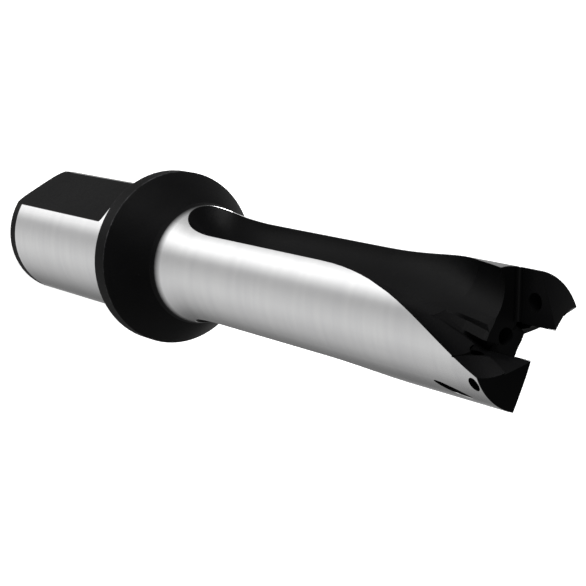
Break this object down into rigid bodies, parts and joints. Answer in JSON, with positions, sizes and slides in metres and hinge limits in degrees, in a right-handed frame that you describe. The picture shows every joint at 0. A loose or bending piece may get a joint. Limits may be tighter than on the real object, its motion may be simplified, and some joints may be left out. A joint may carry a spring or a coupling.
{
  "type": "blade drill body",
  "caption": "Straight-flute to twisted-flute steel body of an indexable blade drill, with a flatted parallel shank, a coned flange and an open cross slot for the exchangeable blade.",
  "frame": {"origin": "centre of the shank's end face", "axes": "+Z along the drill axis from the shank to the tip, +Y out of the clamping flat, +X to the right of both"},
  "size_m": [0.042, 0.042, 0.1902],
  "materials": {
    "drill_steel": "satin ground steel on the shank and the outside of the drilling body; black oxide on the flat, flange, flutes and tip faces"
  },
  "bodies": {
    "root": {"drill_body": "drill_steel"}
  },
  "joints": []
}
